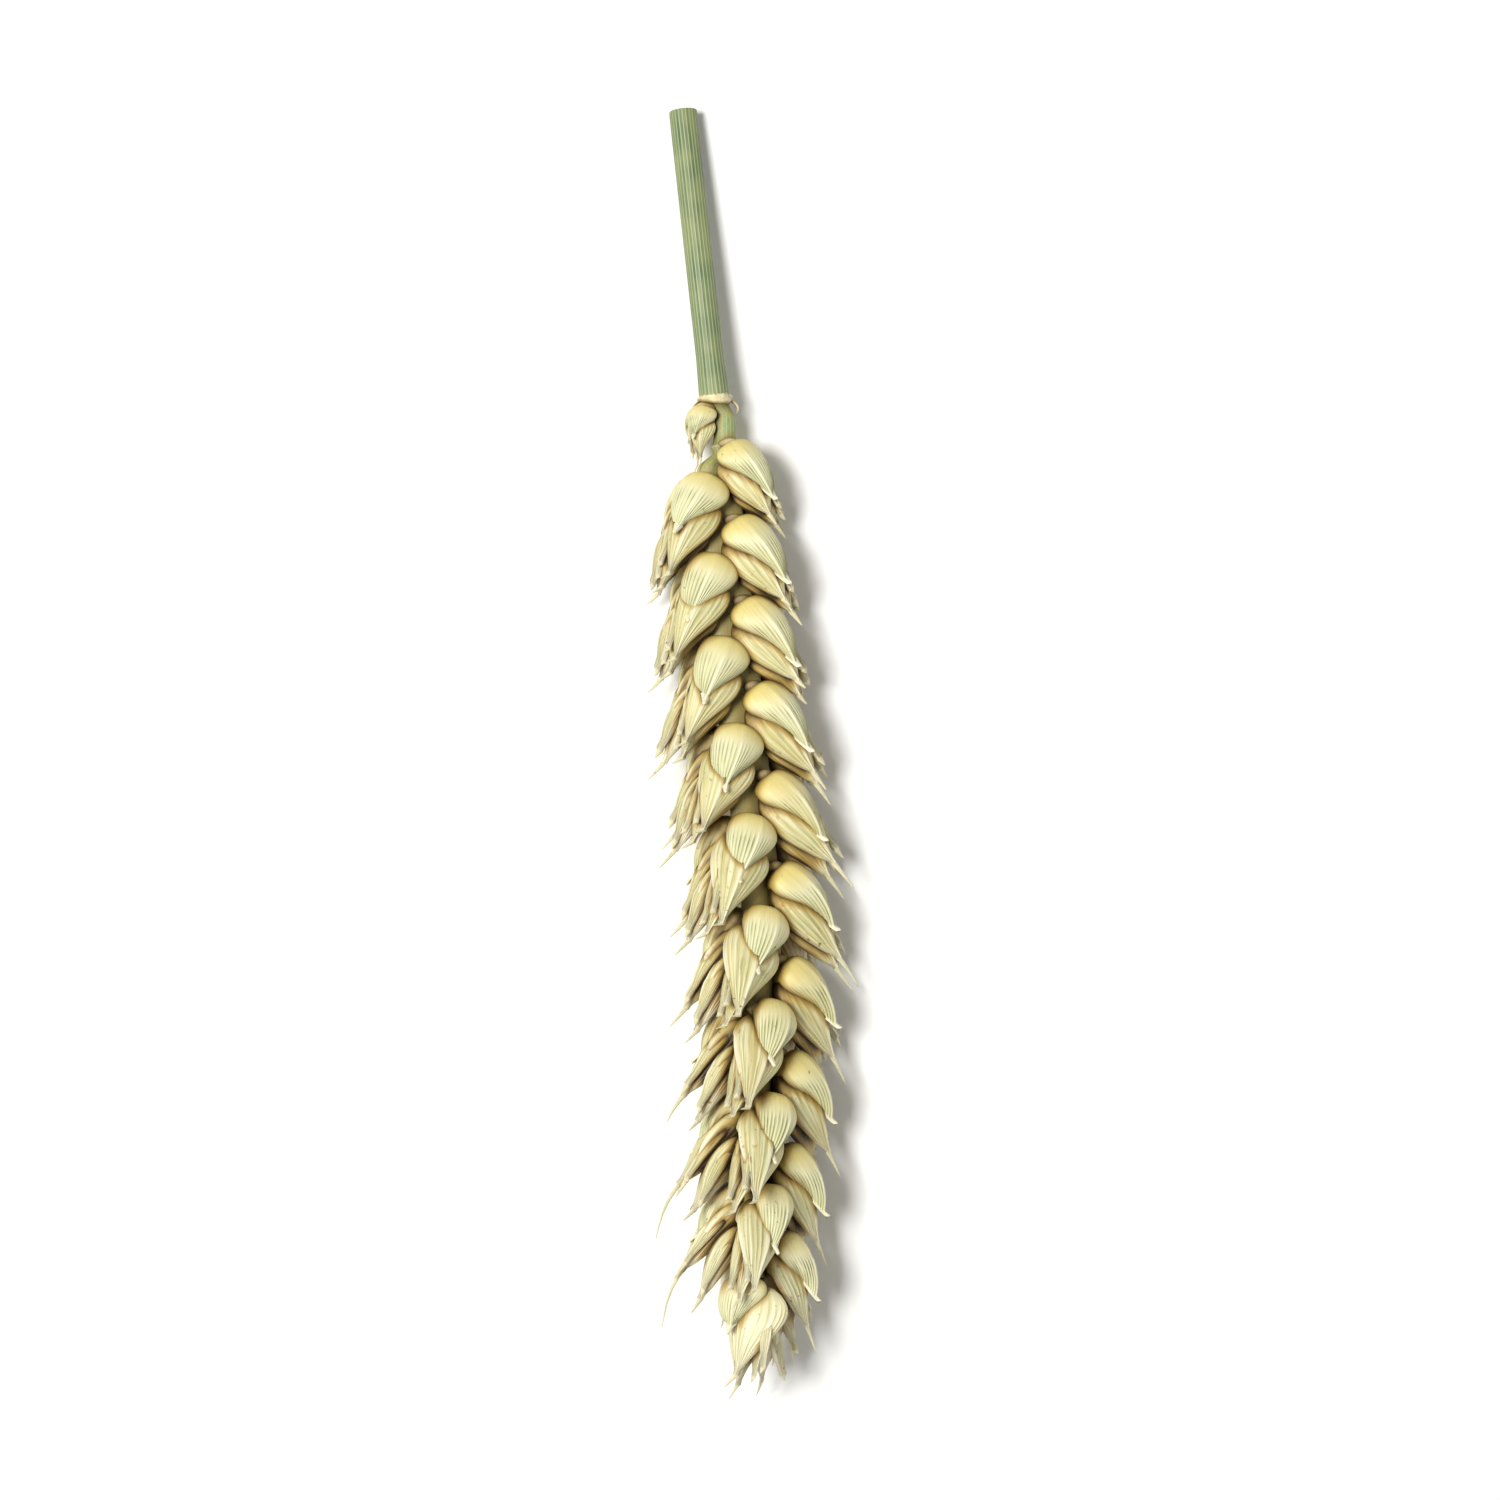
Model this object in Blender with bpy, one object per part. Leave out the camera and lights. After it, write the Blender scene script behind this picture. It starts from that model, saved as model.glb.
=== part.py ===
"""A ripe wheat ear, picked with a short length of its straw and lying on its side.

+Z is up. The ear lies along Y with its tip towards -Y and the cut end of the straw towards +Y.
Blender units are metres.
"""

import math

import bmesh
import bpy
from mathutils import Matrix, Vector

# Place of the collar, where the straw ends and the ear begins
COLLAR = Vector((-0.00347, 0.03447, 0.00405))

# The ear's axis, measured along it from the collar
AXIS_LENGTH = 0.0865
STRAW_LENGTH = 0.029
STRAW_HEADING = 6.3         # degrees off -Y, towards +X
HEADING_AT_COLLAR = 2.2
HEADING_BEND, BEND_BY = 4.3, 0.25       # the axis bends away, then turns back
HEADING_RETURN, RETURN_FROM, RETURN_TO = 8.7, 0.46, 0.8
AXIS_RISE, AXIS_ARCH = 0.0068, 0.0022   # the axis climbs towards the tip, less and less
STRAW_DROP = 0.0003
AXIS_STEP = 0.0005

# Roll of the two rows about the axis, in degrees: the left row turns upwards towards the tip
ROLL_AT_COLLAR = 11.0
ROLL_AT_TIP = 60.0
ROLL_FROM, ROLL_TO = 0.008, 0.074

# Spikelets, numbered from the collar, alternately on the left and the right
SPIKELETS = 20
FIRST_NODE = 0.0011
PITCH_LOW, PITCH_SWELL, PITCH_ARC = 0.0036, 0.00093, 0.85
RIGHT_LEAN = 0.88           # low on the ear the right row leans off the axis less than the left
RIGHT_REACH = 0.84          # and its florets are shorter
LEFT_GLUME, RIGHT_GLUME = 0.90, 1.05    # share of the usual length
CLOSING_FROM = 14           # the spikelets past this one close in on the tip
CLOSING_SHARE = 0.38
SPREAD_FROM, SPREAD = 9, 0.45   # and past this one their fans open wider
AWN_LOW, AWN_HIGH = 0.0011, 0.0045      # length of the points, and what they gain towards the tip
SAG, SAG_TO = 12.0, 8       # the lowest scales of the left row hang down to the ground

# The ear rests on three low scales, and the others stay this far off the ground
RESTS = ((-0.0095, 0.0173), (0.0036, -0.0030), (0.0020, -0.0435))
REST_WIDTH = 0.0060
CLEAR = 0.0004

# Straw, collar and rachis
STRAW_RADIUS, STRAW_FLARE = 0.00138, 0.00012
STRAW_BORE, STRAW_BORE_DEPTH = 0.00075, 0.004
STRAW_SIDES, STRAW_RINGS = 16, 9
COLLAR_RADIUS, COLLAR_HEIGHT = 0.00165, 0.0009
RACHIS_WIDE, RACHIS_THICK = 0.00095, 0.00090
RACHIS_SWELL = 0.00070      # added to both once the spikelets close over it
NODE_SHIFT = 0.00060        # the rachis zigzags this far to each side
GAP = 0.0003

# Colours, linear
EAR_COLOUR, EAR_ROUGHNESS = (0.72, 0.66, 0.37), 0.6
STRAW_COLOUR, STRAW_ROUGHNESS = (0.43, 0.50, 0.29), 0.45
CREASE = 38.0               # degrees from which an edge stays sharp

# Scales: section as degrees round the centre line from the keel, and share of the length
SECTION = (0, 48, 94, 180, 266, 312)
AWN_RADIUS = 0.00032

# Each scale of a spikelet: start along the spikelet, shift to the side, fan angles on the upper
# and lower side, lean from the ear's axis, length, width, share of the half width towards the
# axis, thickness outside and inside, shoulder, bluntness and stations
GLUME = dict(start=-0.0002, shift=0.0014, fan=(13.0, 16.0), lean=28.0, length=0.0066, width=0.0053,
             inner=1.12, back=0.0019, belly=0.0022, shoulder=0.66, blunt=0.40,
             stations=(0.02, 0.12, 0.34, 0.68, 0.91))
LOWER_FLORET = dict(start=0.0006, shift=0.0007, fan=(10.0, 22.0), lean=28.0, length=0.0104, width=0.0051,
                    inner=1.35, back=0.0016, belly=0.0020, shoulder=0.64, blunt=0.62,
                    stations=(0.05, 0.30, 0.76))
UPPER_FLORET = dict(start=0.0030, shift=0.0004, fan=(3.0, 13.0), lean=28.0, length=0.0090, width=0.0045,
                    inner=1.30, back=0.0015, belly=0.0015, shoulder=0.62, blunt=0.70,
                    stations=(0.05, 0.32, 0.72))


def smooth(x):
    x = min(1.0, max(0.0, x))
    return x * x * (3 - 2 * x)


def wobble(i, k):
    """A fixed, uneven number from -1 to 1 for spikelet i and its k-th feature."""
    return math.sin(12.9898 * i + 78.233 * k + 0.5) * math.sin(4.1414 * i * k + 1.3 * k + i)


def axis_point(s):
    """The ear's axis at s metres past the collar; negative s is in the straw."""
    point = COLLAR.copy()
    steps = max(1, round(abs(s) / AXIS_STEP))
    step = s / steps
    for n in range(steps):
        share = (n + 0.5) * step / AXIS_LENGTH
        turn = HEADING_AT_COLLAR + HEADING_BEND * smooth(share / BEND_BY)
        turn -= HEADING_RETURN * smooth((share - RETURN_FROM) / (RETURN_TO - RETURN_FROM))
        heading = math.radians(turn if s > 0 else STRAW_HEADING)
        point += Vector((math.sin(heading), -math.cos(heading), 0)) * step
    share = s / AXIS_LENGTH
    point.z += AXIS_RISE * share
    if s > 0:
        point.z -= AXIS_ARCH * share ** 2
    else:
        point.z -= STRAW_DROP * (s / STRAW_LENGTH) ** 2
    return point


def axis_frame(s):
    """Point, right-hand side of the rows, upper side of the fan, and direction to the tip."""
    along = (axis_point(s + AXIS_STEP) - axis_point(s - AXIS_STEP)).normalized()
    level = Vector((0, 0, 1)).cross(along).normalized()
    up = along.cross(level)
    turned = smooth((s - ROLL_FROM) / (ROLL_TO - ROLL_FROM))
    roll = math.radians(ROLL_AT_COLLAR + (ROLL_AT_TIP - ROLL_AT_COLLAR) * turned)
    c, n = math.cos(roll), math.sin(roll)
    return axis_point(s), level * c - up * n, level * n + up * c, along


def node_places():
    """Distance of each spikelet's node from the collar."""
    s, places = FIRST_NODE, []
    for i in range(SPIKELETS + 1):
        places.append(s)
        s += PITCH_LOW + PITCH_SWELL * math.sin(PITCH_ARC * math.pi * i / SPIKELETS)
    return places


def spikelet_size(i):
    """The lowest spikelets are stunted, and the last few a little smaller."""
    return (1 - 0.48 * math.exp(-1.2 * i)) * (1 - 0.12 * smooth((i - 15) / 5))


def loft(rings, name):
    """A closed body through rings of points, all with the same number of points."""
    mesh = bmesh.new()
    loops = [[mesh.verts.new(p) for p in ring] for ring in rings]
    for a, b in zip(loops, loops[1:]):
        for k in range(len(a)):
            j = (k + 1) % len(a)
            mesh.faces.new((a[k], a[j], b[j], b[k]))
    mesh.faces.new(list(reversed(loops[0])))
    mesh.faces.new(loops[-1])
    bmesh.ops.recalc_face_normals(mesh, faces=mesh.faces[:])
    data = bpy.data.meshes.new(name)
    mesh.to_mesh(data)
    mesh.free()
    return data


def add(name, data, collection):
    piece = bpy.data.objects.new(name, data)
    collection.objects.link(piece)
    return piece


def scale_body(make, size, reach, awn, inward):
    """A keeled scale in its own frame: +Z along it, +Y out of its back, X across it.

    The ear's axis is on the side that inward points to along X.
    """
    length, width = make["length"] * size * reach, make["width"] * size
    back, belly = make["back"] * size, make["belly"] * size
    rings = []
    for t in make["stations"]:
        full = math.sin(math.pi * t ** make["shoulder"]) ** make["blunt"]
        rise = 0.0004 * math.sin(math.pi * t)
        ring = []
        for turn in SECTION:
            a = math.radians(turn)
            depth = back if math.cos(a) > 0 else belly
            half = 0.5 * width * (make["inner"] if math.sin(a) * inward > 0 else 1.0)
            ring.append((half * full * math.sin(a), rise + depth * full * math.cos(a), t * length))
        rings.append(ring)
    point = [(AWN_RADIUS * math.sin(math.radians(a)), AWN_RADIUS * math.cos(math.radians(a)) + back * 0.15,
              length) for a in SECTION]
    rings.append(point)
    if awn:
        rings.append([(0.3 * x, 0.3 * (y - back * 0.15) + back * 0.15, length + awn) for x, y, z in point])
    return loft(rings, "scale")


def stand(piece, root, along, back):
    """Puts a piece's root in place with its +Z along one direction and its back towards another."""
    z = along.normalized()
    y = (back - z * back.dot(z)).normalized()
    x = y.cross(z)
    piece.matrix_world = Matrix.Translation(root) @ Matrix((x, y, z)).transposed().to_4x4()


def scale_places(i, s):
    """Every scale of spikelet i: its make, root, direction, back and awn."""
    point, right, up, along = axis_frame(s)
    side = -1 if i % 2 == 0 else 1
    out = right * side
    size = spikelet_size(i)
    closing = 1 - CLOSING_SHARE * smooth((i - CLOSING_FROM) / (SPIKELETS - CLOSING_FROM))
    spread = 1 + SPREAD * smooth((i - SPREAD_FROM) / (SPIKELETS - SPREAD_FROM))
    reach, glume = 1.0, LEFT_GLUME
    if side > 0:
        grown = smooth((i - 4) / 6)
        closing *= RIGHT_LEAN + (1 - RIGHT_LEAN) * grown
        reach, glume = RIGHT_REACH + (1 - RIGHT_REACH) * grown, RIGHT_GLUME
    if i == SPIKELETS:
        out, up, closing = up, -right, 0.0
    root = point + out * (NODE_SHIFT + 0.0006) * (i < SPIKELETS)
    placed = []
    for n, make in enumerate((GLUME, LOWER_FLORET, UPPER_FLORET)):
        for edge in (1, -1):
            k = 2 * n + (edge < 0)
            if i == 0 and make is UPPER_FLORET:
                continue
            lean = math.radians(make["lean"] * closing + 2.0 * wobble(i, k))
            fan = math.radians(make["fan"][edge < 0] * spread + 2.5 * wobble(i, k + 7))
            if side < 0 and edge < 0:
                fan += math.radians(SAG * (1 - smooth(i / SAG_TO)))
            ahead = along * math.cos(lean) + out * math.sin(lean)
            start = make["start"] + (0.0008 if k == 5 else 0.0)
            where = root + ahead * start * size + up * edge * make["shift"] * size * spread
            direction = ahead * math.cos(fan) + up * edge * math.sin(fan)
            long, awn = glume, 0.0
            if make is not GLUME:
                long = reach
                gain = smooth((i - 8) / 8) * (1 - 0.8 * smooth((i - 17) / 3))
                awn = AWN_LOW + AWN_HIGH * gain * (0.6 + 0.4 * wobble(i, k))
            placed.append((make, where, direction, up * edge + out * 0.22, long, awn))
    return placed


def build_rachis(places):
    """The zigzag axis that carries the spikelets, with the collar at its foot."""
    rings = []
    for s in (0, COLLAR_HEIGHT):
        point, right, up, along = axis_frame(s)
        rings.append([point + right * COLLAR_RADIUS * math.cos(a) + up * COLLAR_RADIUS * math.sin(a)
                      for a in (2 * math.pi * k / 8 for k in range(8))])
    for i, s in [(None, COLLAR_HEIGHT * 1.6)] + [(i, s + 0.0014) for i, s in enumerate(places)]:
        point, right, up, along = axis_frame(s)
        if i is not None:
            point += right * NODE_SHIFT * (-1 if i % 2 == 0 else 1)
        swell = RACHIS_SWELL * smooth((s - 0.006) / 0.010)
        wide, thick = RACHIS_WIDE + swell, RACHIS_THICK + swell
        rings.append([point + right * wide * math.cos(a) + up * thick * math.sin(a)
                      for a in (2 * math.pi * k / 8 for k in range(8))])
    return loft(rings, "ear")


def build_ear(scene):
    places = node_places()
    ear = add("ear", build_rachis(places), scene.collection)
    scales = bpy.data.collections.new("scales")
    scene.collection.children.link(scales)
    for i, s in enumerate(places):
        for n, (make, root, direction, back, reach, awn) in enumerate(scale_places(i, s)):
            inward = (1 if i % 2 == 0 else -1) * (1 if n % 2 == 0 else -1)
            data = scale_body(make, spikelet_size(i), reach, awn, inward)
            stand(add(f"scale_{i}_{n}", data, scales), root, direction, back)
    bpy.context.view_layer.update()
    union = ear.modifiers.new("union", "BOOLEAN")
    union.operation = "UNION"
    union.operand_type = "COLLECTION"
    union.collection = scales
    union.solver = "MANIFOLD"
    apply_modifiers(ear)
    for piece in list(scales.objects):
        bpy.data.objects.remove(piece)
    bpy.data.collections.remove(scales)
    close_pockets(ear)
    press_flat(ear, scene)
    return ear


def close_pockets(piece):
    """Removes the walls of the closed pockets that are left between the scales."""
    mesh = bmesh.new()
    mesh.from_mesh(piece.data)
    shells, seen = [], set()
    for start in mesh.verts:
        if start in seen:
            continue
        shell, waiting = [], [start]
        seen.add(start)
        while waiting:
            vert = waiting.pop()
            shell.append(vert)
            for edge in vert.link_edges:
                other = edge.other_vert(vert)
                if other not in seen:
                    seen.add(other)
                    waiting.append(other)
        shells.append(shell)
    shells.sort(key=len)
    bmesh.ops.delete(mesh, geom=[v for shell in shells[:-1] for v in shell], context="VERTS")
    mesh.to_mesh(piece.data)
    mesh.free()


def apply_modifiers(piece):
    bpy.context.view_layer.objects.active = piece
    with bpy.context.temp_override(object=piece):
        for modifier in list(piece.modifiers):
            bpy.ops.object.modifier_apply(modifier=modifier.name)


def block(name, centre, size, scene):
    """A plain block that only serves to cut."""
    mesh = bmesh.new()
    bmesh.ops.create_cube(mesh, size=1.0)
    bmesh.ops.scale(mesh, verts=mesh.verts[:], vec=size)
    bmesh.ops.translate(mesh, verts=mesh.verts[:], vec=centre)
    data = bpy.data.meshes.new(name)
    mesh.to_mesh(data)
    mesh.free()
    return add(name, data, scene.collection)


def cut(piece, cutter, solver):
    bpy.context.view_layer.update()
    difference = piece.modifiers.new("cut", "BOOLEAN")
    difference.operation = "DIFFERENCE"
    difference.object = cutter
    difference.solver = solver
    apply_modifiers(piece)
    bpy.data.objects.remove(cutter)


def press_flat(piece, scene):
    """Three scales bear the ear and are pressed flat on the ground; the others clear it."""
    ground = block("ground", (0, 0, CLEAR - 0.05), (0.2, 0.2, 0.1), scene)
    for x, y in RESTS:
        cut(ground, block("pit", (x, y, 0.005), (REST_WIDTH, REST_WIDTH, 0.01), scene), "EXACT")
    cut(piece, ground, "MANIFOLD")


def build_straw(scene):
    rings = []
    for k in range(STRAW_RINGS):
        share = k / (STRAW_RINGS - 1)
        s = -GAP - (STRAW_LENGTH - GAP) * share
        point, right, up, along = axis_frame(s)
        radius = STRAW_RADIUS + STRAW_FLARE * (1 - smooth(share * 6))
        rings.append([point + right * radius * math.cos(a) + up * radius * math.sin(a)
                      for a in (2 * math.pi * n / STRAW_SIDES for n in range(STRAW_SIDES))])
    for s in (-STRAW_LENGTH, STRAW_BORE_DEPTH - STRAW_LENGTH):
        point, right, up, along = axis_frame(s)
        rings.append([point + right * STRAW_BORE * math.cos(a) + up * STRAW_BORE * math.sin(a)
                      for a in (2 * math.pi * n / STRAW_SIDES for n in range(STRAW_SIDES))])
    return add("straw", loft(rings, "straw"), scene.collection)


def finish(piece, colour, roughness):
    material = bpy.data.materials.new(piece.name)
    material.use_nodes = True
    surface = material.node_tree.nodes["Principled BSDF"]
    surface.inputs["Base Color"].default_value = (*colour, 1.0)
    surface.inputs["Roughness"].default_value = roughness
    piece.data.materials.clear()
    piece.data.materials.append(material)
    piece.data.shade_smooth()
    piece.data.set_sharp_from_angle(angle=math.radians(CREASE))


def main():
    scene = bpy.context.scene
    for piece in list(bpy.data.objects):
        bpy.data.objects.remove(piece)
    ear = build_ear(scene)
    straw = build_straw(scene)
    finish(ear, EAR_COLOUR, EAR_ROUGHNESS)
    finish(straw, STRAW_COLOUR, STRAW_ROUGHNESS)


main()
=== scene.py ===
"""The looks of a ripe wheat ear, lying on its side with a short length of its straw.

Metres, +Z up, the ear's tip towards -Y. Fine scales, rachis, collar and straw are modelled here,
each where the plain solid of the ear or of the straw has it, and stand for the two.
"""

import math

import bmesh
import bpy
import numpy as np
from mathutils import Matrix, Vector
from mathutils.bvhtree import BVHTree


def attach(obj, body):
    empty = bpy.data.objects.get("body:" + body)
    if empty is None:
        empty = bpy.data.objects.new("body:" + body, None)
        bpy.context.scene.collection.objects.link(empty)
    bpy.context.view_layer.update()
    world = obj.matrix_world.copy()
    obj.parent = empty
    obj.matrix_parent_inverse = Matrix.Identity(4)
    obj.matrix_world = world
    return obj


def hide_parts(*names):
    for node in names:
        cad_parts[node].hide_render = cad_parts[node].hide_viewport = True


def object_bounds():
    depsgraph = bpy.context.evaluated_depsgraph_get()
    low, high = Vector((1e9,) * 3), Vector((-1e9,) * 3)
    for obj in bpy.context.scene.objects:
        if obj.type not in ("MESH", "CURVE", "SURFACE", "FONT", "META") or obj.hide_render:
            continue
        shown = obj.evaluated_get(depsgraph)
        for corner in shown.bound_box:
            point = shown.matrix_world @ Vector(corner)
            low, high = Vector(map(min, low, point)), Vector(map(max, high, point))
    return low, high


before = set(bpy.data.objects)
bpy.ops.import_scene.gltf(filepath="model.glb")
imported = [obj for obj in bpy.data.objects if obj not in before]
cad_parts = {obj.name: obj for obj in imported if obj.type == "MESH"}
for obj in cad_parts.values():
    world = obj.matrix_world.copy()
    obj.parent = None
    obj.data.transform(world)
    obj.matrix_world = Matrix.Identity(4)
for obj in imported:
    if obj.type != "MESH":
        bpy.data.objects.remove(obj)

SOLID_LOW, SOLID_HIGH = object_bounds()

# The ear's axis and rows, as in the solids
COLLAR = Vector((-0.00347, 0.03447, 0.00405))
AXIS_LENGTH, STRAW_LENGTH = 0.0865, 0.029
STRAW_HEADING, HEADING_AT_COLLAR = 6.3, 2.2
HEADING_BEND, BEND_BY = 4.3, 0.25
HEADING_RETURN, RETURN_FROM, RETURN_TO = 8.7, 0.46, 0.8
AXIS_RISE, AXIS_ARCH, STRAW_DROP = 0.0068, 0.0022, 0.0003
AXIS_STEP = 0.0005
ROLL_AT_COLLAR, ROLL_AT_TIP = 11.0, 60.0
ROLL_FROM, ROLL_TO = 0.008, 0.074

# The spikelets, numbered from the collar, even ones on the left
SPIKELETS = 20
FIRST_NODE = 0.0011
PITCH_LOW, PITCH_SWELL, PITCH_ARC = 0.0036, 0.00093, 0.85
RIGHT_LEAN, RIGHT_REACH = 0.88, 0.84
LEFT_GLUME, RIGHT_GLUME = 0.90, 1.05
CLOSING_FROM, CLOSING_SHARE = 14, 0.38
SPREAD_FROM, SPREAD = 9, 0.45
AWN_LOW, AWN_HIGH = 0.0011, 0.0045
SAG, SAG_TO = 12.0, 8

# Straw, collar and rachis
STRAW_RADIUS, STRAW_FLARE = 0.00138, 0.00012
STRAW_BORE, STRAW_BORE_DEPTH = 0.00075, 0.004
COLLAR_RADIUS, COLLAR_HEIGHT = 0.00165, 0.0009
RACHIS_RADIUS, RACHIS_SWELL = 0.00092, 0.00070
NODE_SHIFT = 0.00060
RACHIS_SUNK = 0.0003        # how much deeper the fine rachis lies inside the ear than at its base
RACHIS_BROAD, RACHIS_FLAT = 1.60, 0.78   # its cross-section there, against a round one

# The scales of a spikelet
GLUME = dict(start=-0.0002, shift=0.0014, fan=(13.0, 16.0), length=0.0066, width=0.0053,
             inner=1.12, back=0.0019, belly=0.0022, shoulder=0.66, blunt=0.40)
LOWER_FLORET = dict(start=0.0006, shift=0.0007, fan=(10.0, 22.0), length=0.0104, width=0.0051,
                    inner=1.35, back=0.0016, belly=0.0020, shoulder=0.64, blunt=0.62)
UPPER_FLORET = dict(start=0.0030, shift=0.0004, fan=(3.0, 13.0), length=0.0090, width=0.0045,
                    inner=1.30, back=0.0015, belly=0.0015, shoulder=0.62, blunt=0.70)
LEAN = 28.0
AWN_RADIUS = 0.00032
# Inside each lemma lies a slim palea, whose edge shows on the outer side
PALEA = dict(start=0.0, length=0.0092, width=0.0020, inner=1.0, back=0.0010, belly=0.0010,
             shoulder=0.62, blunt=0.85)
PALEA_TURN, PALEA_OUT, PALEA_REACH = 0.15, 0.0005, (1.02, 0.86)
BARED = 0.0011              # how much further out the left row's upper lemmas lie towards the tip
BROADENED = 0.28            # and how much broader they are there
FIRST_FAN, FIRST_LEAN, FIRST_REACH = 0.35, 0.5, 0.80   # the stunted lowest spikelet is closed

# Fine form of the scales
GLUME_SIDES, GLUME_RINGS = 72, 28
LEMMA_SIDES, LEMMA_RINGS = 48, 30
PALEA_SIDES, PALEA_RINGS = 24, 22
FINE_GLUMES = {True: dict(GLUME, width=0.0053, inner=0.98),
               False: dict(GLUME, width=0.0048, inner=1.06, length=0.0076)}   # the left row's first
MOUTH = 0.30                # radius of a glume's open end, as a share of its half width
GLUME_SWAY = 0.0008         # the glume's point lies off its middle, away from the ear's axis
GLUME_DRAWN_IN = {True: (0.10, 0.08), False: (0.34, 0.08)}   # its margins stop short of the point
GLUME_SLANT = {True: 0.50, False: 0.30}   # how much the inner half narrows towards the point
LEMMA_SLANT = {True: 0.50, False: 0.15}
GLUME_KEEL = {True: 0.00004, False: 0.00010}
BEAK = {True: 1.0, False: 0.55}
GLUME_RAISED, GLUME_LONGER = 0.0005, 1.15   # how much higher the left row's glumes start, and their length
FINE_LEMMAS = {True: (0.95, 0.88, 1.30), False: (0.85, 0.98, 1.35)}   # taper, width, inner share
LEMMA_SWAY = {True: 0.0009, False: 0.0003}
FINE_AWN = 0.00032
MASTER_AWN = 0.0040
LONG_AWNS = {14: 0.0028, 16: 0.0048, 18: 0.0046}   # only a few of the left row's points are long
AWN_CURVE = Vector((0.0, -45.0, 0.0))    # how an awn curves towards the ear's tip
LONG_AWN_CURVE = Vector((50.0, -90.0, 0.0))
SHORT_AWN = 0.0014
LEFT_DROOP = Vector((0.0010, -0.0003, 0.0))   # how far the points of the left row's lemmas hang over
NO_DROOP = Vector((0.0, 0.0, 0.0))
PRESSED = 0.00002

PHOTO_FILL = 0.87           # share of the picture's height that the object takes


def smooth(x):
    x = min(1.0, max(0.0, x))
    return x * x * (3 - 2 * x)


def wobble(i, k):
    """A fixed, uneven number from -1 to 1 for spikelet i and its k-th feature."""
    return math.sin(12.9898 * i + 78.233 * k + 0.5) * math.sin(4.1414 * i * k + 1.3 * k + i)


def axis_point(s):
    """The ear's axis at s metres past the collar; negative s is in the straw."""
    point = COLLAR.copy()
    steps = max(1, round(abs(s) / AXIS_STEP))
    step = s / steps
    for n in range(steps):
        share = (n + 0.5) * step / AXIS_LENGTH
        turn = HEADING_AT_COLLAR + HEADING_BEND * smooth(share / BEND_BY)
        turn -= HEADING_RETURN * smooth((share - RETURN_FROM) / (RETURN_TO - RETURN_FROM))
        heading = math.radians(turn if s > 0 else STRAW_HEADING)
        point += Vector((math.sin(heading), -math.cos(heading), 0)) * step
    share = s / AXIS_LENGTH
    point.z += AXIS_RISE * share
    if s > 0:
        point.z -= AXIS_ARCH * share ** 2
    else:
        point.z -= STRAW_DROP * (s / STRAW_LENGTH) ** 2
    return point


def axis_frame(s):
    """Point, right-hand side of the rows, upper side of the fan, and direction to the tip."""
    along = (axis_point(s + AXIS_STEP) - axis_point(s - AXIS_STEP)).normalized()
    level = Vector((0, 0, 1)).cross(along).normalized()
    up = along.cross(level)
    turned = smooth((s - ROLL_FROM) / (ROLL_TO - ROLL_FROM))
    roll = math.radians(ROLL_AT_COLLAR + (ROLL_AT_TIP - ROLL_AT_COLLAR) * turned)
    c, n = math.cos(roll), math.sin(roll)
    return axis_point(s), level * c - up * n, level * n + up * c, along


def node_places():
    s, places = FIRST_NODE, []
    for i in range(SPIKELETS + 1):
        places.append(s)
        s += PITCH_LOW + PITCH_SWELL * math.sin(PITCH_ARC * math.pi * i / SPIKELETS)
    return places


def spikelet_size(i):
    """The lowest spikelets are stunted, and the last few a little smaller."""
    return (1 - 0.48 * math.exp(-1.2 * i)) * (1 - 0.12 * smooth((i - 15) / 5))


def scale_places(i, s):
    """Every scale of spikelet i: kind, number, root, direction, back, reach, awn, and outer side."""
    point, right, up, along = axis_frame(s)
    side = -1 if i % 2 == 0 else 1
    out = right * side
    size = spikelet_size(i)
    closing = 1 - CLOSING_SHARE * smooth((i - CLOSING_FROM) / (SPIKELETS - CLOSING_FROM))
    spread = 1 + SPREAD * smooth((i - SPREAD_FROM) / (SPIKELETS - SPREAD_FROM))
    reach, glume = 1.0, LEFT_GLUME
    if side > 0:
        grown = smooth((i - 4) / 6)
        closing *= RIGHT_LEAN + (1 - RIGHT_LEAN) * grown
        reach, glume = RIGHT_REACH + (1 - RIGHT_REACH) * grown, RIGHT_GLUME
    if i == SPIKELETS:
        out, up, closing = up, -right, 0.0
    root = point + out * (NODE_SHIFT + 0.0006) * (i < SPIKELETS)
    placed = []
    for n, make in enumerate((GLUME, LOWER_FLORET, UPPER_FLORET)):
        for edge in (1, -1):
            k = 2 * n + (edge < 0)
            if i == 0 and make is UPPER_FLORET:
                continue
            lean = math.radians(LEAN * closing + 2.0 * wobble(i, k))
            fan = math.radians(make["fan"][edge < 0] * spread + 2.5 * wobble(i, k + 7))
            if side < 0 and edge < 0:
                fan += math.radians(SAG * (1 - smooth(i / SAG_TO)))
            if i == 0:
                lean, fan, reach, glume = FIRST_LEAN * lean, FIRST_FAN * fan, FIRST_REACH, FIRST_REACH
            ahead = along * math.cos(lean) + out * math.sin(lean)
            start = make["start"] + (0.0008 if k == 5 else 0.0)
            where = root + ahead * start * size + up * edge * make["shift"] * size * spread
            direction = ahead * math.cos(fan) + up * edge * math.sin(fan)
            long, awn = glume, 0.0
            if make is not GLUME:
                long = reach
                gain = smooth((i - 8) / 8) * (1 - 0.8 * smooth((i - 17) / 3))
                awn = AWN_LOW + AWN_HIGH * gain * (0.6 + 0.4 * wobble(i, k))
            placed.append((n, k, where, direction, up * edge + out * 0.22, long, awn, out))
    return placed


# Tools of the hand

def deselect():
    bpy.ops.object.select_all(action="DESELECT")


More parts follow.
